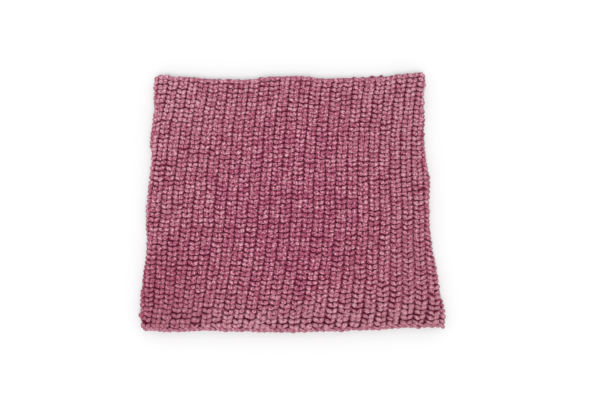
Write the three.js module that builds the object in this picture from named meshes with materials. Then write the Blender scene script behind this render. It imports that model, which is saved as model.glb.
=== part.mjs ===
// A rib-knit tube scarf laid flat: a front panel on a back panel, joined round two soft side folds,
// with a bind-off edge round the upper mouth and a cast-on edge round the lower one.
// Millimetres. +X runs across the scarf, +Y towards the bind-off mouth, +Z up from the table.
import * as THREE from 'three';

// Thickness of the two layers and how the ribs stand on them.
const PILE = 12.2;
const SEAM_GAP = 0.3;
const RIB_DEPTH = 2.0;
const RIB_ROUNDNESS = 0.6;
const FOLD_REACH = 8.0;
const FLAT_MARGIN = 1.5;

// The two knitted edges.
const BIND_OFF_WIDTH = 3.0;
const CAST_ON_WIDTH = 4.6;
const LIP_HEIGHT = 0.35;
const LIP_ROUNDING = 1.8;
const LIP_STEP = 0.35;
const LIP_STEP_HEIGHT = 0.8;
const CORNER_ROUNDING = 2.4;
const CAST_ON_LOOP_DEPTH = 1.5;

// Nominal heights of the two mouths, and how finely the panels are divided.
const TOP = 127;
const BOTTOM = -128.5;
const PANEL_ROWS = 20;
const FOLD_STEPS = 24;
const REST_STRIPS = 10;
const RIB_FRACTIONS = [0, 0.12, 0.3, 0.5, 0.7, 0.88];
const LOOP_FRACTIONS = [0, 0.12, 0.25, 0.38, 0.5, 0.62, 0.75, 0.88];
const INSIDE_SKIP = 3;
const LEAST_STEP = 0.06;
const RIB_WIDTHS_ROUND_FOLD = 3;

// Where the ribs begin to press flat on the way round a fold, as a part of the fold's length.
const PRESS_START = 0.35;

// Points are matched from row to row by keys. The back layer's keys run from its left fold over the
// flat part to its right fold, and a key on the plain inside comes just after the one above it.
const REST_KEY = 1000;
const RIGHT_KEY = 2000;
const JUST_AFTER = 0.001;

// The outline down the scarf. left and right are the silhouette, groove is the place of the middle rib
// groove, pitch the width of a rib beside it, and growth how much wider each next rib to the right is.
const DOWN = [
  { y: 131, left: -138.6, right: 135.4, groove: -1.6, pitch: 10.50, growth: 0.022 },
  { y: 121, left: -141.3, right: 133.9, groove: -2.7, pitch: 10.50, growth: 0.021 },
  { y: 103, left: -140.7, right: 132.4, groove: -4.9, pitch: 10.50, growth: 0.016 },
  { y: 84, left: -141.1, right: 132.4, groove: -6.8, pitch: 10.54, growth: 0.010 },
  { y: 60, left: -143.4, right: 132.0, groove: -8.9, pitch: 10.58, growth: 0.004 },
  { y: 38, left: -142.3, right: 133.6, groove: -10.2, pitch: 10.65, growth: 0.003 },
  { y: 12, left: -145.0, right: 136.6, groove: -11.7, pitch: 10.80, growth: 0.006 },
  { y: -18, left: -146.0, right: 135.9, groove: -13.2, pitch: 10.95, growth: 0.011 },
  { y: -45, left: -145.6, right: 137.7, groove: -15.7, pitch: 11.02, growth: 0.017 },
  { y: -75, left: -147.8, right: 142.7, groove: -19.7, pitch: 11.07, growth: 0.047 },
  { y: -105, left: -150.3, right: 148.3, groove: -24.6, pitch: 11.08, growth: 0.078 },
  { y: -122, left: -149.3, right: 150.6, groove: -27.2, pitch: 11.08, growth: 0.080 },
  { y: -133, left: -146.5, right: 150.2, groove: -28.8, pitch: 11.08, growth: 0.080 },
];

// The two mouths across the scarf, for the front layer and for the back layer under it.
const ACROSS = [
  { x: -150, frontTop: 126.0, backTop: 125.4, frontBottom: -127.2, backBottom: -126.6 },
  { x: -138, frontTop: 126.8, backTop: 125.6, frontBottom: -128.3, backBottom: -127.3 },
  { x: -118, frontTop: 127.5, backTop: 126.1, frontBottom: -129.5, backBottom: -128.3 },
  { x: -90, frontTop: 125.3, backTop: 124.0, frontBottom: -128.3, backBottom: -127.2 },
  { x: -62, frontTop: 123.7, backTop: 122.5, frontBottom: -128.8, backBottom: -127.6 },
  { x: -40, frontTop: 124.9, backTop: 123.7, frontBottom: -129.4, backBottom: -128.2 },
  { x: -17, frontTop: 127.1, backTop: 125.8, frontBottom: -129.8, backBottom: -128.6 },
  { x: 3, frontTop: 127.3, backTop: 126.0, frontBottom: -129.5, backBottom: -128.3 },
  { x: 28, frontTop: 125.0, backTop: 124.2, frontBottom: -129.0, backBottom: -127.8 },
  { x: 55, frontTop: 125.1, backTop: 125.3, frontBottom: -128.4, backBottom: -127.2 },
  { x: 82, frontTop: 125.6, backTop: 126.9, frontBottom: -127.3, backBottom: -126.1 },
  { x: 104, frontTop: 127.3, backTop: 128.6, frontBottom: -125.8, backBottom: -124.8 },
  { x: 128, frontTop: 130.2, backTop: 130.0, frontBottom: -125.1, backBottom: -124.3 },
  { x: 150, frontTop: 131.4, backTop: 130.8, frontBottom: -124.8, backBottom: -124.2 },
];

const FRONT = { up: 1, inside: (PILE + SEAM_GAP) / 2, top: 'frontTop', bottom: 'frontBottom' };
const BACK = { up: -1, inside: (PILE - SEAM_GAP) / 2, top: 'backTop', bottom: 'backBottom' };
const FOLD_RISE = (PILE - SEAM_GAP) / 2 - RIB_DEPTH;

// A smooth curve through one column of a table.
function read(table, axis, column, at) {
  const rising = table[1][axis] > table[0][axis];
  const last = table.length - 1;
  let i = table.findIndex((row) => (rising ? row[axis] > at : row[axis] < at)) - 1;
  if (i === -2) i = last - 1;
  i = THREE.MathUtils.clamp(i, 0, last - 1);
  const slope = (a, b) => (table[b][column] - table[a][column]) / (table[b][axis] - table[a][axis]);
  const span = table[i + 1][axis] - table[i][axis];
  const u = THREE.MathUtils.clamp((at - table[i][axis]) / span, 0, 1);
  const m0 = slope(Math.max(i - 1, 0), i + 1) * span;
  const m1 = slope(i, Math.min(i + 2, last)) * span;
  const d = table[i + 1][column] - table[i][column];
  const start = table[i][column];
  return start + u * (m0 + u * (3 * d - 2 * m0 - m1 + u * (m0 + m1 - 2 * d)));
}

// The quarter of an oval that the cloth follows round a side fold, by the length along it.
function foldCurve() {
  const steps = [{ length: 0, angle: 0 }];
  let x = FOLD_REACH;
  let y = 0;
  for (let i = 1; i <= FOLD_STEPS; i += 1) {
    const angle = (i / FOLD_STEPS) * (Math.PI / 2);
    const nextX = FOLD_REACH * Math.cos(angle);
    const nextY = FOLD_RISE * Math.sin(angle);
    steps.push({ length: steps[i - 1].length + Math.hypot(nextX - x, nextY - y), angle });
    x = nextX;
    y = nextY;
  }
  return steps;
}

const FOLD = foldCurve();
const FOLD_LENGTH = FOLD[FOLD_STEPS].length;

// A point of the fold, with its outward direction. out is how far it reaches past the flat part.
function foldPoint(length) {
  let i = FOLD.findIndex((step) => step.length > length) - 1;
  if (i < 0) i = length <= 0 ? 0 : FOLD_STEPS - 1;
  const part = (length - FOLD[i].length) / (FOLD[i + 1].length - FOLD[i].length);
  const angle = FOLD[i].angle + part * (FOLD[i + 1].angle - FOLD[i].angle);
  const normal = new THREE.Vector2(Math.cos(angle) / FOLD_REACH, Math.sin(angle) / FOLD_RISE).normalize();
  return {
    out: FOLD_REACH * Math.cos(angle),
    rise: FOLD_RISE * Math.sin(angle),
    normalOut: normal.x,
    normalUp: normal.y,
  };
}

// The sizes of one row across the scarf. inset draws the sides in at a rounded corner.
function rowSizes(nominal, inset) {
  const left = read(DOWN, 'y', 'left', nominal) + RIB_DEPTH + FOLD_REACH + inset;
  const right = read(DOWN, 'y', 'right', nominal) - RIB_DEPTH - FOLD_REACH - inset;
  const groove = read(DOWN, 'y', 'groove', nominal);
  const pitch = read(DOWN, 'y', 'pitch', nominal);
  const growth = read(DOWN, 'y', 'growth', nominal);
  const ribAt = (t) => (Math.sqrt(pitch * pitch + 4 * growth * t) - pitch) / (2 * growth);
  const placeOf = (rib) => pitch * rib + growth * rib * rib;
  const firstRib = ribAt(left - groove - FOLD_LENGTH);
  const lastRib = ribAt(right - groove + FOLD_LENGTH);
  return { nominal, left, right, groove, pitch, growth, placeOf, firstRib, lastRib };
}

// The rounded ribs, with a narrow groove at each whole number.
function ribShape(rib) {
  return Math.abs(Math.sin(Math.PI * rib)) ** RIB_ROUNDNESS;
}

// Two small loops of the cast-on chain on each rib.
function loopShape(rib) {
  const low = 1 - CAST_ON_LOOP_DEPTH / RIB_DEPTH;
  return low + (1 - low) * Math.abs(Math.sin(2 * Math.PI * rib)) ** RIB_ROUNDNESS;
}

// Height of the wavy mouth lines, carried through the whole panel in proportion.
function heightAt(x, nominal, side) {
  const part = (nominal - BOTTOM) / (TOP - BOTTOM);
  const topWave = read(ACROSS, 'x', side.top, x) - TOP;
  const bottomWave = read(ACROSS, 'x', side.bottom, x) - BOTTOM;
  return nominal + topWave * part + bottomWave * (1 - part);
}

// A point on a face. raise is the rib's height there, and flatten presses an edge's lip down.
function facePoint(row, side, place, normal, raise, flatten) {
  const x = place.x + normal.out * raise;
  const rise = (place.rise + normal.up * raise) * flatten;
  return new THREE.Vector3(x, heightAt(x, row.nominal, side), side.inside + side.up * rise);
}

function foldFacePoint(row, side, hand, length, raise, flatten) {
  const fold = foldPoint(length);
  const start = hand < 0 ? row.left : row.right;
  const place = { x: start + hand * fold.out, rise: fold.rise };
  return facePoint(row, side, place, { out: hand * fold.normalOut, up: fold.normalUp }, raise, flatten);
}

// The front layer's outer face along one row: a point at each fraction of each rib.
function frontFace(row, shape, fractions, flatten) {
  const keys = [row.firstRib];
  for (let rib = Math.floor(row.firstRib); rib <= row.lastRib; rib += 1) {
    for (const fraction of fractions) {
      const key = rib + fraction;
      if (key > row.firstRib + LEAST_STEP && key < row.lastRib - LEAST_STEP) keys.push(key);
    }
  }
  keys.push(row.lastRib);
  return keys.map((key) => {
    const raise = RIB_DEPTH * shape(key);
    const x = row.groove + row.placeOf(key);
    if (x < row.left) {
      const length = Math.max(FOLD_LENGTH - (row.left - x), 0);
      return { key, point: foldFacePoint(row, FRONT, -1, length, raise, flatten) };
    }
    if (x > row.right) {
      const length = Math.max(FOLD_LENGTH - (x - row.right), 0);
      return { key, point: foldFacePoint(row, FRONT, 1, length, raise, flatten) };
    }
    const place = { x, rise: FOLD_RISE };
    return { key, point: facePoint(row, FRONT, place, { out: 0, up: 1 }, raise, flatten) };
  });
}

// The ribs that run on round one fold onto the back layer, flattening out where it rests.
function backFold(row, hand, shape, fractions, flatten) {
  const edgeRib = hand < 0 ? row.firstRib : row.lastRib;
  const width = row.pitch + 2 * row.growth * edgeRib;
  const points = [];
  const add = (rib) => {
    const length = Math.abs(rib - edgeRib) * width;
    const pressed = THREE.MathUtils.smoothstep(length, PRESS_START * FOLD_LENGTH, FOLD_LENGTH);
    const raise = RIB_DEPTH * THREE.MathUtils.lerp(shape(rib), 1, pressed);
    const point = foldFacePoint(row, BACK, hand, Math.min(length, FOLD_LENGTH), raise, flatten);
    points.push({ key: hand < 0 ? -rib : RIGHT_KEY - rib, point });
  };
  add(edgeRib);
  const reach = (FOLD_LENGTH - FLAT_MARGIN) / width;
  const first = Math.floor(edgeRib) - RIB_WIDTHS_ROUND_FOLD;
  for (let rib = first; rib <= edgeRib + RIB_WIDTHS_ROUND_FOLD; rib += 1) {
    for (const fraction of fractions) {
      const away = hand * (rib + fraction - edgeRib);
      if (away > LEAST_STEP && away < reach) add(rib + fraction);
    }
  }
  return points.sort((a, b) => a.key - b.key);
}

// The back layer's outer face along one row, flat between its folds.
function backFace(row, shape, fractions, flatten) {
  const points = backFold(row, -1, shape, fractions, flatten);
  for (let i = 0; i <= REST_STRIPS; i += 1) {
    const x = THREE.MathUtils.lerp(row.left, row.right, i / REST_STRIPS);
    const place = { x, rise: FOLD_RISE };
    const point = facePoint(row, BACK, place, { out: 0, up: 1 }, RIB_DEPTH, flatten);
    points.push({ key: REST_KEY + i, point });
  }
  return points.concat(backFold(row, 1, shape, fractions, flatten));
}

// The plain inside along one row, between the two ends of the outer face.
function insidePoints(row, side, skip) {
  const points = [];
  const add = (key, x) => {
    const point = new THREE.Vector3(x, heightAt(x, row.nominal, side), side.inside);
    points.push({ key: key + JUST_AFTER, point });
  };
  if (side === BACK) {
    for (let i = 0; i <= REST_STRIPS; i += 1) {
      add(REST_KEY + i, THREE.MathUtils.lerp(row.left, row.right, i / REST_STRIPS));
    }
    return points;
  }
  for (let rib = Math.ceil(row.firstRib); rib < row.lastRib; rib += 1) {
    const x = row.groove + row.placeOf(rib + 0.5);
    const kept = skip === 1 || rib % skip === 0;
    if (kept && x > row.left && x < row.right) add(rib, x);
  }
  return points;
}

// Collects the points and triangles of one closed body.
class Body {
  constructor() {
    this.positions = [];
    this.triangles = [];
  }

  add(points) {
    return points.map(({ key, point }) => {
      this.positions.push(point.x, point.y, point.z);
      return { key, index: this.positions.length / 3 - 1 };
    });
  }

  face(a, b, c, flipped) {
    if (flipped) this.triangles.push(a, c, b);
    else this.triangles.push(a, b, c);
  }

  // Joins two lines of points, an upper and a lower one, matching the points with equal keys.
  zip(upper, lower, flipped) {
    let i = 0;
    let k = 0;
    while (i < upper.length - 1 || k < lower.length - 1) {
      const nextUpper = i < upper.length - 1 ? upper[i + 1].key : Infinity;
      const nextLower = k < lower.length - 1 ? lower[k + 1].key : Infinity;
      if (nextUpper <= nextLower) {
        this.face(upper[i].index, lower[k].index, upper[i + 1].index, flipped);
        i += 1;
      } else {
        this.face(upper[i].index, lower[k].index, lower[k + 1].index, flipped);
        k += 1;
      }
    }
  }

  geometry() {
    const geometry = new THREE.BufferGeometry();
    geometry.setAttribute('position', new THREE.Float32BufferAttribute(this.positions, 3));
    geometry.setIndex(this.triangles);
    geometry.computeVertexNormals();
    return geometry;
  }
}

// A layer through a list of rows, each with its own nominal height, inset and flattening.
function layer(side, rows, shape, fractions) {
  const body = new Body();
  const isFront = side === FRONT;
  let above = null;
  rows.forEach(({ nominal, inset, flatten }, i) => {
    const atEnd = i === 0 || i === rows.length - 1;
    const row = rowSizes(nominal, inset);
    const face = isFront ? frontFace : backFace;
    const outer = body.add(face(row, shape, fractions, flatten));
    const inside = body.add(insidePoints(row, side, atEnd ? 1 : INSIDE_SKIP));
    const floor = [outer[0], ...inside, outer[outer.length - 1]];
    if (above) {
      body.zip(above.outer, outer, !isFront);
      body.zip(above.floor, floor, isFront);
    }
    if (atEnd) body.zip(outer, inside, (i === 0) === isFront);
    above = { outer, floor };
  });
  return body.geometry();
}

function panelRows() {
  const start = TOP - BIND_OFF_WIDTH - SEAM_GAP;
  const end = BOTTOM + CAST_ON_WIDTH + SEAM_GAP;
  const rows = [];
  for (let i = 0; i <= PANEL_ROWS; i += 1) {
    rows.push({ nominal: THREE.MathUtils.lerp(start, end, i / PANEL_ROWS), inset: 0, flatten: 1 });
  }
  return rows;
}

// The rows of a knitted edge, from its rounded lip at the mouth to where it meets the panel.
function edgeRows(mouth, width) {
  const inward = Math.sign(-mouth);
  const rounded = mouth + inward * LIP_ROUNDING;
  const stepped = mouth + inward * LIP_ROUNDING * LIP_STEP;
  const rows = [
    { nominal: mouth, inset: CORNER_ROUNDING, flatten: LIP_HEIGHT },
    { nominal: stepped, inset: CORNER_ROUNDING * LIP_STEP, flatten: LIP_STEP_HEIGHT },
    { nominal: rounded, inset: 0, flatten: 1 },
    { nominal: mouth + inward * width, inset: 0, flatten: 1 },
  ];
  return mouth > 0 ? rows : rows.reverse();
}

const panelYarn = new THREE.MeshStandardMaterial({ color: 0xb0688a, roughness: 0.95, metalness: 0 });
const backYarn = new THREE.MeshStandardMaterial({ color: 0xa86284, roughness: 0.95, metalness: 0 });
const edgeYarn = new THREE.MeshStandardMaterial({ color: 0xbd7c99, roughness: 0.95, metalness: 0 });

const scarf = new THREE.Group();

function addPiece(name, geometry, material) {
  const piece = new THREE.Mesh(geometry, material);
  piece.name = name;
  scarf.add(piece);
}

const bindOffRows = edgeRows(TOP, BIND_OFF_WIDTH);
const castOnRows = edgeRows(BOTTOM, CAST_ON_WIDTH);
addPiece('front_panel', layer(FRONT, panelRows(), ribShape, RIB_FRACTIONS), panelYarn);
addPiece('back_panel', layer(BACK, panelRows(), ribShape, RIB_FRACTIONS), backYarn);
addPiece('front_bind_off_edge', layer(FRONT, bindOffRows, ribShape, RIB_FRACTIONS), edgeYarn);
addPiece('back_bind_off_edge', layer(BACK, bindOffRows, ribShape, RIB_FRACTIONS), edgeYarn);
addPiece('front_cast_on_edge', layer(FRONT, castOnRows, loopShape, LOOP_FRACTIONS), edgeYarn);
addPiece('back_cast_on_edge', layer(BACK, castOnRows, loopShape, LOOP_FRACTIONS), edgeYarn);

// The origin is the centre of the rest face.
const box = new THREE.Box3().setFromObject(scarf);
const middle = box.getCenter(new THREE.Vector3());
scarf.position.set(-middle.x, -middle.y, -box.min.z);

export default scarf;
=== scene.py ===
# A rib-knit tube scarf in plush yarn, laid flat.
# The knitting is made as yarn: one round of stitches for each row, over a thin ribbed ground.
import math
import random
from collections import namedtuple

import bmesh
import bpy
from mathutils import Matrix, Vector, noise


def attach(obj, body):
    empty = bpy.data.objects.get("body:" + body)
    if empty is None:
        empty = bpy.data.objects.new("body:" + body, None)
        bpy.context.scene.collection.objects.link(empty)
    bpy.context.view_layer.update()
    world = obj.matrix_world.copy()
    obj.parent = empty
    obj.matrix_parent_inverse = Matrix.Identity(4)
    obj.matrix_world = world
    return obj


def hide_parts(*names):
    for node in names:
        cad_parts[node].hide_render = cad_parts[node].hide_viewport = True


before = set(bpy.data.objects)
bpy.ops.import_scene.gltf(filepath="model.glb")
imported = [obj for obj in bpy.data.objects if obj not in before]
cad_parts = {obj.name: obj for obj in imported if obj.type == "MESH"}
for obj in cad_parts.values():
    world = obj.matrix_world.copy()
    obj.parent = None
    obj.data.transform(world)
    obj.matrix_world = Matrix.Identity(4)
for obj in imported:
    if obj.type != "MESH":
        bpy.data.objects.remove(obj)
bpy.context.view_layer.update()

# Sizes in millimetres, turned into metres where a mesh is made.
MM = 0.001
BOTH_LAYERS = 12.2
SEAM_GAP = 0.3
RIB_DEPTH = 2.0
FOLD_REACH = 8.0
FOLD_RISE = (BOTH_LAYERS - SEAM_GAP) / 2 - RIB_DEPTH
MIDDLE_HEIGHT = BOTH_LAYERS / 2
TOP = 127.0
BOTTOM = -128.5
HALF_WIDTH = 145
HALF_HEIGHT = 128
ORIGIN_SHIFT = (-0.29, -0.37)

# The underside is pressed flat, this far above the table in millimetres, which leaves room for the
# yarn's lumps. Round a fold the pressing begins and is complete at these parts of the way under it.
UNDERSIDE_CLEARANCE = 0.6
PRESSING_BEGINS = 0.25
PRESSED_FLAT = 0.9

# How finely curves are stepped: a side fold, round the yarn, and one turn of a cord.
FOLD_STEPS = 24
YARN_SIDES = 8
CORD_STEPS = 12

# The knitting: ribs round the tube, and the rows from the cast-on edge up.
RIBS_ROUND = 54
FIRST_RIB = -13
RIBS = range(FIRST_RIB, FIRST_RIB + RIBS_ROUND)
LOWEST_ROW = BOTTOM + 5.2
HIGHEST_ROW = TOP - 3.4
LOWEST_PITCH = 4.72
HIGHEST_PITCH = 4.48
ROWS_A_BAND = 11
KNIT_SEED = 7

# The outline down the scarf. left and right are the silhouette, groove is the place of the middle rib
# groove, pitch the width of a rib beside it, and growth half of the width that each next rib gains.
DOWN_COLUMNS = ("y", "left", "right", "groove", "pitch", "growth")
DOWN = [
    (131, -138.6, 135.4, -1.6, 10.50, 0.022),
    (121, -141.3, 133.9, -2.7, 10.50, 0.021),
    (103, -140.7, 132.4, -4.9, 10.50, 0.016),
    (84, -141.3, 133.4, -6.8, 10.54, 0.010),
    (60, -143.5, 131.8, -8.9, 10.58, 0.004),
    (38, -142.5, 133.5, -10.2, 10.65, 0.003),
    (12, -145.1, 137.2, -11.7, 10.80, 0.006),
    (-18, -146.0, 136.2, -13.2, 10.95, 0.011),
    (-45, -146.3, 138.1, -15.7, 11.02, 0.017),
    (-75, -148.1, 142.0, -19.7, 11.07, 0.047),
    (-105, -150.3, 148.3, -24.6, 11.08, 0.078),
    (-122, -149.3, 150.6, -27.2, 11.08, 0.080),
    (-133, -146.5, 150.2, -28.8, 11.08, 0.080),
]

# The two mouths across the scarf, for the front layer and for the back layer under it.
ACROSS_COLUMNS = ("x", "front_top", "back_top", "front_bottom", "back_bottom")
ACROSS = [
    (-150, 126.0, 125.4, -127.2, -126.6),
    (-138, 126.8, 125.6, -128.3, -127.3),
    (-118, 126.9, 126.0, -129.5, -128.3),
    (-90, 124.8, 123.8, -128.3, -127.2),
    (-62, 123.0, 122.0, -128.8, -127.6),
    (-40, 124.3, 123.2, -129.4, -128.2),
    (-17, 126.3, 125.2, -129.8, -128.6),
    (3, 127.3, 126.0, -129.5, -128.3),
    (28, 124.7, 124.0, -129.0, -127.8),
    (55, 125.1, 125.3, -128.4, -127.2),
    (82, 125.6, 127.2, -127.3, -126.1),
    (104, 127.6, 129.3, -125.8, -124.8),
    (128, 130.2, 130.0, -125.1, -124.3),
    (150, 131.4, 130.8, -124.8, -124.2),
]

# One knit stitch across its rib, from groove to groove: part of the rib's width, height on the row,
# lift above the groove level, and the yarn's radius. The yarn hangs in a shallow V of two plump lobes,
# and its outer ends climb into the grooves, where they show as a small bump between two rows.
STITCH = [
    (0.00, 2.3, -2.35, 1.25),
    (0.07, 2.0, -2.00, 1.36),
    (0.14, 1.25, -1.2, 1.76),
    (0.21, 0.65, -0.35, 2.24),
    (0.29, 0.2, -0.15, 2.44),
    (0.39, -0.45, -0.65, 2.00),
    (0.50, -0.90, -1.65, 1.42),
    (0.61, -0.45, -0.65, 2.00),
    (0.71, 0.2, -0.15, 2.44),
    (0.79, 0.65, -0.35, 2.24),
    (0.86, 1.25, -1.2, 1.76),
    (0.93, 2.0, -2.00, 1.36),
]

# How uneven the stitches are: drift, rise and lift in millimetres, sway and shift as parts of a rib's
# width, swell as a part of the yarn's radius, and the tints on the scale from deep to pale fibres.
ROW_DRIFT = 2.3
LOBE_RISE = 0.36
LOBE_LIFT = 0.32
RIB_SWAY = 0.10
LOBE_SHIFT = 0.018
LOBE_SWELL = 0.08
STITCH_TINT = 0.09
LOBE_TINT = 0.08
LOBE_TRAITS = ("rise", "swell", "lift", "tint", "shift")

# Smooth noise over the cloth: how fast it changes from rib to rib and with each millimetre up the
# cloth, and where it is read in the noise.
DRIFT_NOISE = (0.83, 0.035, 4.2)
SWAY_NOISE = (0.9, 0.06, 9.1)
HOLE_NOISE = (1.7, 0.21, 2.7)

# What loose and slack cloth does to its stitches, as parts of what they are elsewhere. The cloth fans
# out to the lower right and is slack there too. The lowest rows drift less, because the edge holds them.
LOOSE_DRIFT = 0.5
HELD_STEADY = 0.75
LOOSE_UNTIDY = 0.5
SLACK_UNTIDY = 0.4
SLACK_STEEPER = 0.38
LOOSE_FLATTER = 0.22
LOOSE_PLUMPER = 0.05
FANNED_THINNER = 0.09
FANNED_SLACK = 0.9

# The grooves between ribs: slack cloth fills them, a hole opens them, and the lowest rows part there.
# The fill and the drop are in millimetres. Holes and the parted lowest rows are painted darker too, as
# painted shade in them.
GROOVE_FILL = 0.6
FILLED_THICKER = 0.3
HOLE_DROP = 1.9
HOLE_THINNER = 0.4
HOLE_DARKER = 0.6
HELD_HOLE = 0.8

# Round a side fold the stitches stand out further, in millimetres, and are thicker.
FOLD_LIFT = 0.45
FOLD_THICKER = 0.12

# Lifts in millimetres between which the yarn's colour goes from painted shade to the open pile's: yarn that
# lies deeper in the cloth is painted darker, as shade.
PAINTED_SHADE_LIFT = -3.3
OPEN_LIFT = -0.4

# Round a mouth the yarn is coloured as if the cloth there faced out of the mouth and up by these parts,
# which sets where the painted shade on the yarn's flanks falls there.
FACING_MOUTH = 0.8
FACING_UP = 0.5

# The two-ply cords round the mouths: the level, lift and reach of their turns and the radius of a ply
# in millimetres, and how uneven they are.
Cord = namedtuple("Cord", ("nominal", "lift", "reach", "radius", "unevenness"))
BIND_OFF_CORD = Cord(nominal=TOP - 2.4, lift=-1.6, reach=0.8, radius=1.25, unevenness=0.5)
CAST_ON_CORD = Cord(nominal=BOTTOM + 2.2, lift=-1.1, reach=1.1, radius=1.4, unevenness=1.0)

# A ply is thinnest at the bottom of its turn, and painted darkest there, as shade deep in the cord. Its
# lumps swell it as a part of its radius, move it up the cloth and lift it in millimetres, and tint it.
PLY_THINNEST = 0.9
PLY_THICKER = 0.25
PLY_OPEN = 0.8
PLY_OPEN_SWING = 0.2
LUMP_SWELL = 0.12
LUMP_RISE = 0.5
LUMP_LIFT = 0.4
LUMP_TINT = 0.12

# The ground behind the stitches, in millimetres: its ends, its lift in the grooves, how much higher it
# is on the ribs, its wall, and the distance under which the two ends of a round are one.
GROUND_BOTTOM = BOTTOM + 2.2
GROUND_TOP = TOP - 1.6
GROUND_LIFT = -2.8
GROUND_RIB = 1.3
GROUND_WALL = 0.9
GROUND_WELD = 0.02

# The ground's grid, how much darker its grooves are painted near the lower edge, as shade in them, and how
# speckled it is.
GROUND_STEPS_A_RIB = 4
GROUND_STEPS_DOWN = 48
GROUND_HEM_DARKER = 0.7
GROUND_SPECKLE = 0.5

# How much paler, deeper or greyer some parts of the cloth are, on the scales of tint and of greying. The
# paler corners, lower edge and rim and all of the greying are painted sheen. Where those parts begin and
# end is in millimetres from the middle of the scarf.
PALER_CORNERS = 0.27
PALER_HEM = 0.25
PALER_RIM = 0.16
HEM_FADES_LEFT = 1.2
DEEPER_LOWER_LEFT = 0.48
DEEPER_LOWER_RIGHT = 0.15
DEEPER_MIDDLE = 0.15
GREYER_RIM = 0.18
GREYER_RIGHT = 0.14
GREYER_HEM = 0.27

# Colours in linear light. The first of each yarn's colours is painted shade, laid where the yarn faces away
# from the cloth's outside and where it lies deep. The ground's colours are the yarn's made darker, as
# painted shade deep in the knitting, and the grey that the pile is mixed towards is painted sheen.
YARN_PAINTED_SHADE = (0.186, 0.0062, 0.042)
YARN_DEEP = (0.252, 0.044, 0.092)
YARN_MIDDLE = (0.356, 0.0925, 0.155)
YARN_PALE = (0.556, 0.296, 0.364)
GROUND_PAINTED_SHADE = (0.055, 0.005, 0.020)
GROUND_DEEP = (0.15, 0.007, 0.038)
GROUND_MIDDLE = (0.127, 0.012, 0.035)
EDGE_PAINTED_SHADE = (0.20, 0.026, 0.067)
EDGE_MIDDLE = (0.355, 0.11, 0.166)
EDGE_PALE = (0.56, 0.30, 0.37)
SHEEN_GREY = (0.335, 0.162, 0.190)
FLOOR_GREY = (0.632, 0.632, 0.632)

# Noise in the yarn, each with its scale in waves to the metre, detail, roughness and weight.
CLUMPS = (430.0, 2.0, 0.6, 2.0)
FLECKS = (720.0, 1.0, 0.5, 5.2)
PATCHES = (90.0, 2.0, 0.5, 0.8)
PILE_FIBRES = (800.0, 3.0, 0.7, 1.0)

# Shades of fibre where one colour turns into the next, the shade of plain yarn, how far round the yarn
# the painted shade reaches on its flanks, and how much the fibres roughen that line.
DEEP_TO_MIDDLE = (-0.1, 0.5)
MIDDLE_TO_PALE = (0.5, 1.3)
PLAIN_SHADE = 0.5
PAINTED_SHADE_TO_PILE = (-0.20, 0.88)
ROUGH_LINE = 0.25

# The yarn's lumps in waves to the metre and in millimetres, and the height of its pile in millimetres.
YARN_LUMP_SCALE = 520.0
YARN_LUMP_HEIGHT = 0.9
PILE_HEIGHT = 0.6

# The camera and the light in metres and degrees, with the lens and sensor in millimetres.
CAMERA_TARGET = (0.0066, 0.0006, 0.006)
CAMERA_DISTANCE = 0.8333
CAMERA_ELEVATION = 84
CAMERA_LENS = 50
CAMERA_SENSOR = 36
CAMERA_NEAR_LIMIT = 0.01
DOME_STRENGTH = 1.0
SOFTBOX_PLACE = (0.05, -0.42, 1.3)
SOFTBOX_STRENGTH = 2.05
SOFTBOX_ANGLE = 40
FLOOR_REACH = 4.0


def look_at(thing, target):
    thing.rotation_euler = (target - thing.location).to_track_quat("-Z", "Y").to_euler()


def make_camera():
    """Above the scarf and a little to its near side, as the photo looks at it."""
    target = Vector(CAMERA_TARGET)
    elevation = math.radians(CAMERA_ELEVATION)
    data = bpy.data.cameras.new("camera")
    data.lens = CAMERA_LENS
    data.sensor_width = CAMERA_SENSOR
    data.clip_start = CAMERA_NEAR_LIMIT
    camera = bpy.data.objects.new("camera", data)
    bpy.context.scene.collection.objects.link(camera)
    camera.location = target + CAMERA_DISTANCE * Vector((0, -math.cos(elevation), math.sin(elevation)))
    look_at(camera, target)
    bpy.context.scene.camera = camera


make_camera()


def read(table, columns, column, at):
    """A smooth curve through one column of a table, by the table's first column."""
    k = columns.index(column)
    rising = table[1][0] > table[0][0]
    last = len(table) - 1
    i = 0
    while i < last - 1 and (table[i + 1][0] <= at if rising else table[i + 1][0] >= at):
        i += 1

    def slope(a, b):
        return (table[b][k] - table[a][k]) / (table[b][0] - table[a][0])

    span = table[i + 1][0] - table[i][0]
    u = min(max((at - table[i][0]) / span, 0.0), 1.0)
    m0 = slope(max(i - 1, 0), i + 1) * span
    m1 = slope(i, min(i + 2, last)) * span
    d = table[i + 1][k] - table[i][k]
    return table[i][k] + u * (m0 + u * (3 * d - 2 * m0 - m1 + u * (m0 + m1 - 2 * d)))


def smoothstep(x, low, high):
    u = min(max((x - low) / (high - low), 0.0), 1.0)
    return u * u * (3 - 2 * u)


def mix(a, b, t):
    return a + (b - a) * t


def fold_curve():
    """The quarter of an oval that the cloth follows round a side fold: length along it, and angle."""
    steps = [(0.0, 0.0)]
    here = (FOLD_REACH, 0.0)
    for i in range(1, FOLD_STEPS + 1):
        angle = i / FOLD_STEPS * math.pi / 2
        there = (FOLD_REACH * math.cos(angle), FOLD_RISE * math.sin(angle))
        steps.append((steps[-1][0] + math.dist(here, there), angle))
        here = there
    return steps


FOLD = fold_curve()
FOLD_LENGTH = FOLD[-1][0]


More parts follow.
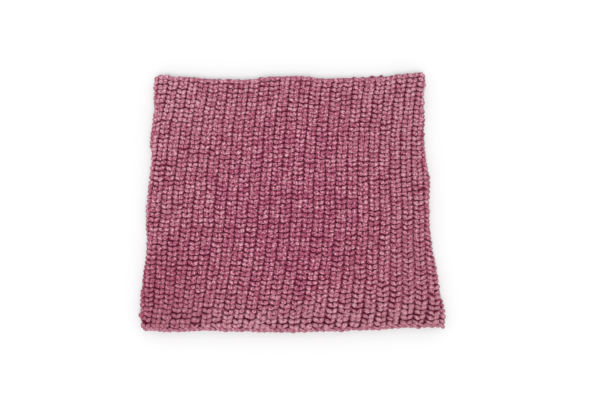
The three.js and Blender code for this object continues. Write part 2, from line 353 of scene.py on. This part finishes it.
def fold_point(length):
    """A point of the fold: how far out and up it is, and its outward direction."""
    length = min(max(length, 0.0), FOLD_LENGTH)
    i = 0
    while i < FOLD_STEPS - 1 and FOLD[i + 1][0] < length:
        i += 1
    part = (length - FOLD[i][0]) / (FOLD[i + 1][0] - FOLD[i][0])
    angle = mix(FOLD[i][1], FOLD[i + 1][1], part)
    normal = Vector((math.cos(angle) / FOLD_REACH, math.sin(angle) / FOLD_RISE)).normalized()
    return FOLD_REACH * math.cos(angle), FOLD_RISE * math.sin(angle), normal


class Course:
    """One level of the tube, with the way round it measured in ribs."""

    def __init__(self, nominal):
        self.nominal = nominal
        self.left = read(DOWN, DOWN_COLUMNS, "left", nominal) + RIB_DEPTH + FOLD_REACH
        self.right = read(DOWN, DOWN_COLUMNS, "right", nominal) - RIB_DEPTH - FOLD_REACH
        self.groove = read(DOWN, DOWN_COLUMNS, "groove", nominal)
        self.pitch = read(DOWN, DOWN_COLUMNS, "pitch", nominal)
        self.growth = read(DOWN, DOWN_COLUMNS, "growth", nominal)
        self.first = self.rib_at(self.left - self.groove - FOLD_LENGTH)
        self.last = self.rib_at(self.right - self.groove + FOLD_LENGTH)
        self.left_width = self.pitch + 2 * self.growth * self.first
        self.right_width = self.pitch + 2 * self.growth * self.last
        self.under_first = self.last + FOLD_LENGTH / self.right_width
        self.under_last = self.first + RIBS_ROUND - FOLD_LENGTH / self.left_width

    def rib_at(self, t):
        return (math.sqrt(self.pitch**2 + 4 * self.growth * t) - self.pitch) / (2 * self.growth)

    def place(self, rib):
        """Across, height above or under the middle plane, outward direction, and how far it is pressed."""
        if rib < self.first:
            rib += RIBS_ROUND
        if rib >= self.first + RIBS_ROUND:
            rib -= RIBS_ROUND
        if rib <= self.last:
            x = self.groove + self.pitch * rib + self.growth * rib * rib
            if self.left <= x <= self.right:
                return x, SEAM_GAP / 2 + FOLD_RISE, Vector((0, 1)), 0.0
            hand = -1 if x < self.left else 1
            edge = self.left if x < self.left else self.right
            out, rise, normal = fold_point(FOLD_LENGTH - abs(x - edge))
            return edge + hand * out, SEAM_GAP / 2 + rise, Vector((hand * normal.x, normal.y)), 0.0
        if self.under_first < rib < self.under_last:
            part = (rib - self.under_first) / (self.under_last - self.under_first)
            return mix(self.right, self.left, part), -SEAM_GAP / 2 - FOLD_RISE, Vector((0, -1)), 1.0
        if rib <= self.under_first:
            hand, edge, length = 1, self.right, (rib - self.last) * self.right_width
        else:
            hand, edge, length = -1, self.left, (self.first + RIBS_ROUND - rib) * self.left_width
        out, rise, normal = fold_point(length)
        pressed = smoothstep(length, PRESSING_BEGINS * FOLD_LENGTH, PRESSED_FLAT * FOLD_LENGTH)
        direction = Vector((hand * normal.x, -normal.y))
        return edge + hand * out, -SEAM_GAP / 2 - rise, direction, pressed


def mouth_edge(mouth, x, front):
    """How far up a mouth's edge is, from the back layer at nought to the front layer at one."""
    back_edge = read(ACROSS, ACROSS_COLUMNS, "back_" + mouth, x)
    front_edge = read(ACROSS, ACROSS_COLUMNS, "front_" + mouth, x)
    return mix(back_edge, front_edge, front)


def level(x, nominal, rise):
    """How far up the scarf a wavy row is, on the front or back layer or between them round a fold."""
    part = (nominal - BOTTOM) / (TOP - BOTTOM)
    front = smoothstep(rise, -FOLD_RISE, FOLD_RISE)
    top_wave = mouth_edge("top", x, front) - TOP
    bottom_wave = mouth_edge("bottom", x, front) - BOTTOM
    return nominal + top_wave * part + bottom_wave * (1 - part)


def on_cloth(course, rib, height, lift, radius):
    """A point of the cloth in metres and its outward direction, by rib, height on the course and lift."""
    x, rise, outward, pressed = course.place(rib)
    lift = mix(lift, min(lift, RIB_DEPTH - radius - UNDERSIDE_CLEARANCE), pressed)
    y = level(x, course.nominal + height, rise)
    point = (
        (x + outward.x * lift + ORIGIN_SHIFT[0]) * MM,
        (y + ORIGIN_SHIFT[1]) * MM,
        (rise + outward.y * lift + MIDDLE_HEIGHT) * MM,
    )
    return point, (outward.x, 0.0, outward.y)


def new_socket(group, name, direction, kind, value=None):
    socket = group.interface.new_socket(name=name, in_out=direction, socket_type=kind)
    if value is not None:
        socket.default_value = value
    return socket


def add_node(tree, kind, **inputs):
    node = tree.nodes.new(kind)
    for name, value in inputs.items():
        node.inputs[name.replace("_", " ")].default_value = value
    return node


def calculate(tree, operation, first, second):
    """A math node whose two inputs are sockets or plain values."""
    node = tree.nodes.new("ShaderNodeMath")
    node.operation = operation
    for socket, value in zip(node.inputs, (first, second)):
        if isinstance(value, float):
            socket.default_value = value
        else:
            tree.links.new(value, socket)
    return node.outputs[0]


def spread(tree, low, high, value):
    """Turns a range of values into 0 to 1, with a soft start and end."""
    node = add_node(tree, "ShaderNodeMapRange", From_Min=low, From_Max=high)
    node.interpolation_type = "SMOOTHSTEP"
    tree.links.new(value, node.inputs["Value"])
    return node.outputs["Result"]


def blend(tree, factor, first, second):
    node = tree.nodes.new("ShaderNodeMix")
    node.data_type = "RGBA"
    tree.links.new(factor, node.inputs["Factor"])
    tree.links.new(first, node.inputs["A"])
    tree.links.new(second, node.inputs["B"])
    return node.outputs["Result"]


def mottle(tree, scale, detail, roughness, weight):
    """Cloudy noise fixed in the object, about nought on average."""
    place = tree.nodes.new("ShaderNodeTexCoord")
    cloud = add_node(tree, "ShaderNodeTexNoise", Scale=scale, Detail=detail, Roughness=roughness)
    tree.links.new(place.outputs["Object"], cloud.inputs["Vector"])
    centred = calculate(tree, "SUBTRACT", cloud.outputs["Fac"], 0.5)
    return calculate(tree, "MULTIPLY", centred, weight)


def stored(tree, name):
    node = tree.nodes.new("ShaderNodeAttribute")
    node.attribute_name = name
    return node.outputs["Fac"]


def heather_group():
    """Yarn spun from deep and pale fibres, with painted shade on its flanks and deep in the cloth, and
    painted sheen greying the pile.
    """
    tree = bpy.data.node_groups.new("heathered yarn", "ShaderNodeTree")
    for name in ("Painted shade", "Deep", "Middle", "Pale", "Dust"):
        new_socket(tree, name, "INPUT", "NodeSocketColor")
    new_socket(tree, "Speckle", "INPUT", "NodeSocketFloat", 1.0)
    new_socket(tree, "Colour", "OUTPUT", "NodeSocketColor")
    inside = tree.nodes.new("NodeGroupInput")
    outside = tree.nodes.new("NodeGroupOutput")
    fibres = calculate(tree, "ADD", mottle(tree, *CLUMPS), mottle(tree, *FLECKS))
    fibres = calculate(tree, "MULTIPLY", fibres, inside.outputs["Speckle"])
    shade = calculate(tree, "ADD", fibres, mottle(tree, *PATCHES))
    shade = calculate(tree, "ADD", shade, stored(tree, "tint"))
    shade = calculate(tree, "ADD", shade, PLAIN_SHADE)
    half_way = spread(tree, *DEEP_TO_MIDDLE, shade)
    darker = blend(tree, half_way, inside.outputs["Deep"], inside.outputs["Middle"])
    fibre_colour = blend(tree, spread(tree, *MIDDLE_TO_PALE, shade), darker, inside.outputs["Pale"])
    # Painted shade: the yarn takes the shade colour where it faces away from the cloth's outside and where
    # it lies deep.
    crown = calculate(tree, "ADD", stored(tree, "crown"), calculate(tree, "MULTIPLY", fibres, ROUGH_LINE))
    unshaded_pile = calculate(tree, "MULTIPLY", spread(tree, *PAINTED_SHADE_TO_PILE, crown), stored(tree, "depth"))
    # Painted sheen greys the pile's colour.
    pile_colour = blend(tree, stored(tree, "dust"), fibre_colour, inside.outputs["Dust"])
    whole = blend(tree, unshaded_pile, inside.outputs["Painted shade"], pile_colour)
    tree.links.new(whole, outside.inputs["Colour"])
    return tree


def pile_group():
    """Height of the short plush pile, in clumps with finer fibres on them."""
    tree = bpy.data.node_groups.new("plush pile", "ShaderNodeTree")
    new_socket(tree, "Height", "OUTPUT", "NodeSocketFloat")
    outside = tree.nodes.new("NodeGroupOutput")
    tree.links.new(mottle(tree, *PILE_FIBRES), outside.inputs["Height"])
    return tree


HEATHER = heather_group()
PLUSH_PILE = pile_group()


def plush_material(name, painted_shade, deep, middle, pale, speckle=1.0):
    material = bpy.data.materials.new(name)
    material.use_nodes = True
    tree = material.node_tree
    shader = tree.nodes["Principled BSDF"]
    colour = tree.nodes.new("ShaderNodeGroup")
    colour.node_tree = HEATHER
    # The first colour is painted shade, and the last one painted sheen that greys the pile.
    colours = (("Painted shade", painted_shade), ("Deep", deep), ("Middle", middle), ("Pale", pale), ("Dust", SHEEN_GREY))
    for socket, value in colours:
        colour.inputs[socket].default_value = (*value, 1)
    colour.inputs["Speckle"].default_value = speckle
    pile = tree.nodes.new("ShaderNodeGroup")
    pile.node_tree = PLUSH_PILE
    bump = add_node(tree, "ShaderNodeBump", Strength=1.0, Distance=PILE_HEIGHT * MM)
    tree.links.new(pile.outputs["Height"], bump.inputs["Height"])
    tree.links.new(bump.outputs["Normal"], shader.inputs["Normal"])
    tree.links.new(colour.outputs["Colour"], shader.inputs["Base Color"])
    shader.inputs["Roughness"].default_value = 0.95
    shader.inputs["Specular IOR Level"].default_value = 0.02
    shader.inputs["Sheen Weight"].default_value = 0.03
    shader.inputs["Sheen Roughness"].default_value = 0.5
    shader.inputs["Sheen Tint"].default_value = (1.0, 0.75, 0.83, 1)
    return material


yarn_material = plush_material("plush yarn", YARN_PAINTED_SHADE, YARN_DEEP, YARN_MIDDLE, YARN_PALE)
# The ground's colours are the yarn's made darker, as painted shade deep in the knitting.
ground_material = plush_material(
    "knit ground", GROUND_PAINTED_SHADE, GROUND_DEEP, GROUND_MIDDLE, YARN_DEEP, GROUND_SPECKLE
)
edge_material = plush_material("edge yarn", EDGE_PAINTED_SHADE, YARN_DEEP, EDGE_MIDDLE, EDGE_PALE)


def swept_yarn(tree, paths):
    """A round yarn along each path, as thick as its points say."""
    curve = tree.nodes.new("GeometryNodeMeshToCurve")
    radius = add_node(tree, "GeometryNodeInputNamedAttribute", Name="radius")
    profile = add_node(tree, "GeometryNodeCurvePrimitiveCircle", Resolution=YARN_SIDES, Radius=1.0)
    sweep = tree.nodes.new("GeometryNodeCurveToMesh")
    tree.links.new(paths, curve.inputs["Mesh"])
    tree.links.new(curve.outputs["Curve"], sweep.inputs["Curve"])
    tree.links.new(profile.outputs["Curve"], sweep.inputs["Profile Curve"])
    tree.links.new(radius.outputs["Attribute"], sweep.inputs["Scale"])
    return sweep.outputs["Mesh"]


def with_crown(tree, yarn, facing):
    """Keeps how far each bit of the yarn faces out of the cloth, which places the painted shade on its
    flanks.
    """
    outward = tree.nodes.new("GeometryNodeInputNamedAttribute")
    outward.data_type = "FLOAT_VECTOR"
    outward.inputs["Name"].default_value = "outward"
    crown = tree.nodes.new("ShaderNodeVectorMath")
    crown.operation = "DOT_PRODUCT"
    tree.links.new(facing, crown.inputs[0])
    tree.links.new(outward.outputs["Attribute"], crown.inputs[1])
    keep = add_node(tree, "GeometryNodeStoreNamedAttribute", Name="crown")
    tree.links.new(yarn, keep.inputs["Geometry"])
    tree.links.new(crown.outputs["Value"], keep.inputs["Value"])
    return keep.outputs["Geometry"]


def with_lumps(tree, yarn, facing):
    """Moves the yarn's surface in and out by a soft noise."""
    lumps = add_node(tree, "ShaderNodeTexNoise", Scale=YARN_LUMP_SCALE, Detail=1.0)
    centred = calculate(tree, "SUBTRACT", lumps.outputs["Fac"], 0.5)
    swell = calculate(tree, "MULTIPLY", centred, YARN_LUMP_HEIGHT * MM)
    along = tree.nodes.new("ShaderNodeVectorMath")
    along.operation = "SCALE"
    tree.links.new(facing, along.inputs[0])
    tree.links.new(swell, along.inputs["Scale"])
    move = tree.nodes.new("GeometryNodeSetPosition")
    tree.links.new(yarn, move.inputs["Geometry"])
    tree.links.new(along.outputs["Vector"], move.inputs["Offset"])
    return move.outputs["Geometry"]


def yarn_nodes():
    """Geometry nodes that lay a round, slightly lumpy yarn along a path, as thick as each point says."""
    tree = bpy.data.node_groups.new("yarn along a path", "GeometryNodeTree")
    new_socket(tree, "Geometry", "INPUT", "NodeSocketGeometry")
    new_socket(tree, "Geometry", "OUTPUT", "NodeSocketGeometry")
    inside = tree.nodes.new("NodeGroupInput")
    outside = tree.nodes.new("NodeGroupOutput")
    facing = tree.nodes.new("GeometryNodeInputNormal").outputs["Normal"]
    yarn = swept_yarn(tree, inside.outputs["Geometry"])
    yarn = with_crown(tree, yarn, facing)
    yarn = with_lumps(tree, yarn, facing)
    smooth = tree.nodes.new("GeometryNodeSetShadeSmooth")
    tree.links.new(yarn, smooth.inputs["Geometry"])
    tree.links.new(smooth.outputs["Geometry"], outside.inputs["Geometry"])
    return tree


YARN_NODES = yarn_nodes()

# A point on a yarn's path. Its place and radius are in metres, outward is the way out of the cloth, and
# its last three values are its colour: nought to one from painted shade to open pile, from deep to pale,
# and greyer by painted sheen.
YarnPoint = namedtuple("YarnPoint", ("place", "outward", "radius", "depth", "tint", "dust"))


def closed_edges(rounds):
    """Edges from each point to the next and from the last to the first, round by round."""
    edges = []
    start = 0
    for strand in rounds:
        count = len(strand)
        edges.extend((start + k, start + (k + 1) % count) for k in range(count))
        start += count
    return edges


def lay_paths(name, rounds):
    """Closed rounds as a mesh of edges that keeps what each point says of its yarn."""
    points = [point for strand in rounds for point in strand]
    mesh = bpy.data.meshes.new(name + "_path")
    mesh.from_pydata([point.place for point in points], closed_edges(rounds), [])
    for label in ("radius", "depth", "tint", "dust"):
        values = [getattr(point, label) for point in points]
        mesh.attributes.new(label, "FLOAT", "POINT").data.foreach_set("value", values)
    directions = [part for point in points for part in point.outward]
    mesh.attributes.new("outward", "FLOAT_VECTOR", "POINT").data.foreach_set("vector", directions)
    return mesh


def lay_yarn(name, rounds, material):
    """Closed rounds of yarn as one piece."""
    piece = bpy.data.objects.new(name, lay_paths(name, rounds))
    bpy.context.scene.collection.objects.link(piece)
    piece.modifiers.new("yarn", "NODES").node_group = YARN_NODES
    bpy.context.view_layer.update()
    mesh = bpy.data.meshes.new_from_object(piece.evaluated_get(bpy.context.evaluated_depsgraph_get()))
    piece.modifiers.clear()
    piece.data = mesh
    mesh.name = name
    mesh.materials.clear()
    mesh.materials.append(material)
    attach(piece, "root")
    return piece


def row_levels():
    """The nominal height of each row, closer together towards the top."""
    levels = [LOWEST_ROW]
    while True:
        part = (levels[-1] - BOTTOM) / (TOP - BOTTOM)
        following = levels[-1] + mix(LOWEST_PITCH, HIGHEST_PITCH, part)
        if following > HIGHEST_ROW:
            break
        levels.append(following)
    stretch = (HIGHEST_ROW - LOWEST_ROW) / (levels[-1] - LOWEST_ROW)
    return [LOWEST_ROW + (y - LOWEST_ROW) * stretch for y in levels]


def off_centre(x, y):
    """Distance from the scarf's middle, about one where its outline is."""
    return math.hypot(x / HALF_WIDTH, y / HALF_HEIGHT)


def paler(x, y):
    """Paler towards the upper corners, lower edge and rim, as painted sheen; deeper at the middle and lower
    left.
    """
    corner = smoothstep(abs(x), 60, 145) * smoothstep(y, 40, 130)
    hem = smoothstep(-y, 96, 126) * (1 - HEM_FADES_LEFT * smoothstep(-x, 60, 120))
    lower_left = smoothstep(-x, 60, 130) * smoothstep(-y, 10, 80)
    lower_right = smoothstep(x, 60, 130) * smoothstep(-y, 10, 80)
    rim = smoothstep(off_centre(x, y), 0.45, 1.15)
    middle = 1 - smoothstep(math.hypot(x - 12, y + 35), 20, 75)
    paler_part = PALER_CORNERS * corner + PALER_HEM * hem + PALER_RIM * rim
    paler_part = paler_part - DEEPER_LOWER_LEFT * lower_left - DEEPER_LOWER_RIGHT * lower_right
    return paler_part - DEEPER_MIDDLE * middle


def sheen_greying(x, y):
    """Painted sheen, greyer away from the middle and most towards the right fold and the lower edge."""
    rim = smoothstep(off_centre(x, y), 0.35, 1.15)
    right = smoothstep(x, 20, 140)
    hem = smoothstep(-y, 85, 125)
    return GREYER_RIM * rim + GREYER_RIGHT * right + GREYER_HEM * hem


def looseness(y):
    """The cloth is loose near its lower edge and firm further up."""
    return 1 - smoothstep(y, BOTTOM + 9, BOTTOM + 38)


def slackness(x, y):
    """Loose cloth is slack, and so is the cloth that fans out to the lower right."""
    return max(looseness(y), FANNED_SLACK * smoothstep(x, 30, 130) * smoothstep(-y, 0, 80))


def held_by_edge(y):
    """The lowest rows are held by the cast-on edge."""
    return 1 - smoothstep(y, BOTTOM + 7, BOTTOM + 14)


def wander(rib, y, rate):
    """Smooth noise over the cloth, about nought."""
    rib_rate, y_rate, place = rate
    return noise.noise(Vector((rib * rib_rate, y * y_rate, place)))


def hole_at(rib, y):
    """How open the groove beside a rib is at a row, where the loose cloth is laddered with small holes."""
    return smoothstep(wander(rib, y, HOLE_NOISE), -0.05, 0.35)


class Stitch:
    """One knit stitch: how the cloth lies round it, its colour, and what is uneven in its two lobes."""

    def __init__(self, course, rib, rng):
        y = course.nominal
        x = course.place(rib + 0.5)[0]
        self.course = course
        self.rib = rib
        self.loose = looseness(y)
        self.slack = slackness(x, y)
        self.held = held_by_edge(y)
        self.untidy = 1 + LOOSE_UNTIDY * self.loose + SLACK_UNTIDY * self.slack
        settled = (1 + LOOSE_DRIFT * self.loose) * (1 - HELD_STEADY * self.held)
        self.drift = ROW_DRIFT * settled * wander(rib, y, DRIFT_NOISE)
        # A random tone, plus the tint by place, whose paler rim, corners and lower edge are painted sheen.
        self.tint = rng.gauss(0, STITCH_TINT) + paler(x, y)
        # The pile's greying by painted sheen.
        self.dust = sheen_greying(x, y)
        self.left = {trait: rng.gauss(0, 1) for trait in LOBE_TRAITS}
        self.right = {trait: rng.gauss(0, 1) for trait in LOBE_TRAITS}

    def point(self, part, height, lift, radius):
        """The yarn at one line of the stitch's table."""
        lobe = self.left if part < 0.5 else self.right
        crest = math.sin(math.pi * part)
        lobe_share = abs(math.sin(2 * math.pi * part))
        groove = 1 - smoothstep(crest, 0.0, 0.5)
        filled = self.slack * groove
        hole = groove * self.hole_beside(part)
        fold = abs(self.course.place(self.rib + part)[2].x)

        steepness = 1 + SLACK_STEEPER * self.slack - LOOSE_FLATTER * self.loose
        height = height * steepness + self.drift + LOBE_RISE * self.untidy * lobe["rise"] * crest
        # Painted shade: yarn deep in the cloth and in holes is given the shade colour.
        depth = smoothstep(lift + GROOVE_FILL * filled, PAINTED_SHADE_LIFT, OPEN_LIFT) * (1 - HOLE_DARKER * hole)
        lift = lift + LOBE_LIFT * self.untidy * lobe["lift"] * crest
        lift = lift + GROOVE_FILL * filled - HOLE_DROP * hole + FOLD_LIFT * fold
        radius *= 1 + LOBE_SWELL * self.untidy * lobe["swell"] * lobe_share
        radius *= 1 + FOLD_THICKER * fold
        radius *= (1 + self.plumpness() * crest + FILLED_THICKER * filled) * (1 - HOLE_THINNER * hole)
        sway = RIB_SWAY * wander(self.rib + part, self.course.nominal, SWAY_NOISE)
        across = self.rib + part + sway + LOBE_SHIFT * self.untidy * lobe["shift"] * lobe_share
        tint = self.tint + LOBE_TINT * lobe["tint"] * lobe_share

        place, outward = on_cloth(self.course, across, height, lift, radius)
        # At the upper mouth the painted shade is placed as if the yarn faced out of the mouth and up.
        if self.course.nominal > HIGHEST_ROW - 1 and outward[2] < 0:
            outward = (outward[0], FACING_MOUTH, FACING_UP)
        return YarnPoint(place, outward, radius * MM, depth, tint, self.dust)

    def hole_beside(self, part):
        """How open the groove is at the near end of the stitch."""
        ladder = hole_at(self.rib + round(part), self.course.nominal)
        return max(HELD_HOLE * self.held, self.loose * ladder)

    def plumpness(self):
        """Lobes are plumper in loose cloth, and thinner where it fans out."""
        return LOOSE_PLUMPER * self.loose - FANNED_THINNER * (self.slack - self.loose)


def stitch_round(nominal, rng):
    """One row of knit stitches all round the tube, as a closed strand."""
    course = Course(nominal)
    strand = []
    for rib in RIBS:
        stitch = Stitch(course, rib, rng)
        strand.extend(stitch.point(*line) for line in STITCH)
    return strand


def knit_bands():
    rng = random.Random(KNIT_SEED)
    rounds = [stitch_round(nominal, rng) for nominal in row_levels()]
    bands = []
    for start in range(0, len(rounds), ROWS_A_BAND):
        name = f"knit_rows_{start // ROWS_A_BAND + 1}"
        bands.append(lay_yarn(name, rounds[start : start + ROWS_A_BAND], yarn_material))
    return bands


def cord_ply(cord, ply, rng):
    """One ply of a cord, which turns once to each rib and has one lump there."""
    course = Course(cord.nominal)
    towards_mouth = math.copysign(FACING_MOUTH, cord.nominal)
    strand = []
    for rib in RIBS:
        swell, rise, out = [rng.gauss(0, cord.unevenness) for _ in range(3)]
        for step in range(CORD_STEPS):
            part = step / CORD_STEPS
            angle = 2 * math.pi * (part + ply / 2)
            bulge = math.sin(math.pi * part) ** 2
            thickness = PLY_THINNEST + PLY_THICKER * (1 + math.sin(angle)) / 2 + LUMP_SWELL * swell * bulge
            radius = cord.radius * thickness
            height = cord.reach * math.cos(angle) + LUMP_RISE * rise * bulge
            lift = cord.lift + cord.reach * math.sin(angle) + LUMP_LIFT * out * bulge
            # Painted shade, darkest where the ply turns deepest.
            depth = PLY_OPEN + PLY_OPEN_SWING * math.sin(angle)
            tint = LUMP_TINT * swell * bulge
            place, outward = on_cloth(course, rib + part, height, lift, radius)
            # The painted shade is placed as if the cord faced out of the mouth and up.
            outward = (outward[0], towards_mouth, max(outward[2], FACING_UP))
            # The pile's greying by painted sheen.
            dust = sheen_greying(place[0] / MM, cord.nominal)
            strand.append(YarnPoint(place, outward, radius * MM, depth, tint, dust))
    return strand


def edge_cord(name, cord):
    """A two-ply cord round a mouth, uneven as it was knitted."""
    rng = random.Random(int(abs(cord.nominal)))
    plies = [cord_ply(cord, ply, rng) for ply in range(2)]
    return lay_yarn(name, plies, edge_material)


def ground_grid():
    """The ground's surface, as a grid bent round the tube and closed, with painted shade in the hem's
    grooves.
    """
    shell = bmesh.new()
    across = RIBS_ROUND * GROUND_STEPS_A_RIB
    bmesh.ops.create_grid(shell, x_segments=across, y_segments=GROUND_STEPS_DOWN, size=0.5)
    depth = shell.verts.layers.float.new("depth")
    courses = {}
    for vert in shell.verts:
        rib = FIRST_RIB + (vert.co.x + 0.5) * RIBS_ROUND
        nominal = mix(GROUND_BOTTOM, GROUND_TOP, vert.co.y + 0.5)
        row = round(nominal, 3)
        if row not in courses:
            courses[row] = Course(nominal)
        crest = abs(math.sin(math.pi * rib))
        groove = 1 - smoothstep(crest, 0.2, 0.7)
        hem = 1 - smoothstep(nominal, BOTTOM + 10, BOTTOM + 30)
        # Painted shade in the hem's grooves.
        vert[depth] = 1 - GROUND_HEM_DARKER * hem * groove
        vert.co = on_cloth(courses[row], rib, 0, GROUND_LIFT + GROUND_RIB * crest, GROUND_WALL / 2)[0]
    bmesh.ops.remove_doubles(shell, verts=shell.verts, dist=GROUND_WELD * MM)
    bmesh.ops.recalc_face_normals(shell, faces=shell.faces)
    return shell


def ground_shell():
    """The thin ribbed ground behind the stitches, as one tube of cloth."""
    mesh = bpy.data.meshes.new("knit_ground")
    shell = ground_grid()
    shell.to_mesh(mesh)
    shell.free()
    mesh.shade_smooth()
    piece = bpy.data.objects.new("knit_ground", mesh)
    bpy.context.scene.collection.objects.link(piece)
    wall = piece.modifiers.new("wall", "SOLIDIFY")
    wall.thickness = GROUND_WALL * MM
    wall.offset = -1
    mesh.materials.append(ground_material)
    for label, value in (("crown", 1.0), ("tint", 0.0), ("dust", 0.0)):
        mesh.attributes.new(label, "FLOAT", "POINT").data.foreach_set("value", [value] * len(mesh.vertices))
    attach(piece, "root")
    return piece


ground = ground_shell()
bands = knit_bands()
bind_off = edge_cord("bind_off_edge", BIND_OFF_CORD)
cast_on = edge_cord("cast_on_edge", CAST_ON_CORD)
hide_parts("front_panel", "back_panel")
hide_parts("front_bind_off_edge", "back_bind_off_edge")
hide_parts("front_cast_on_edge", "back_cast_on_edge")


def make_floor():
    floor_mesh = bpy.data.meshes.new("floor")
    plane = bmesh.new()
    bmesh.ops.create_grid(plane, x_segments=1, y_segments=1, size=FLOOR_REACH)
    plane.to_mesh(floor_mesh)
    plane.free()
    floor = bpy.data.objects.new("floor", floor_mesh)
    bpy.context.scene.collection.objects.link(floor)
    material = bpy.data.materials.new("floor paint")
    material.use_nodes = True
    shader = material.node_tree.nodes["Principled BSDF"]
    shader.inputs["Base Color"].default_value = (*FLOOR_GREY, 1)
    shader.inputs["Roughness"].default_value = 0.9
    shader.inputs["Specular IOR Level"].default_value = 0.1
    floor_mesh.materials.append(material)


def make_light():
    """An even white dome, and a broad soft light above the scarf and a little to its near side."""
    world = bpy.data.worlds.new("white studio")
    bpy.context.scene.world = world
    world.use_nodes = True
    background = world.node_tree.nodes["Background"]
    background.inputs["Color"].default_value = (1, 1, 1, 1)
    background.inputs["Strength"].default_value = DOME_STRENGTH
    lamp = bpy.data.lights.new("softbox", "SUN")
    lamp.angle = math.radians(SOFTBOX_ANGLE)
    lamp.energy = SOFTBOX_STRENGTH
    softbox = bpy.data.objects.new("softbox", lamp)
    softbox.location = SOFTBOX_PLACE
    bpy.context.scene.collection.objects.link(softbox)
    look_at(softbox, Vector((0, 0, 0)))
    bpy.context.scene.view_settings.view_transform = "Standard"


make_floor()
make_light()
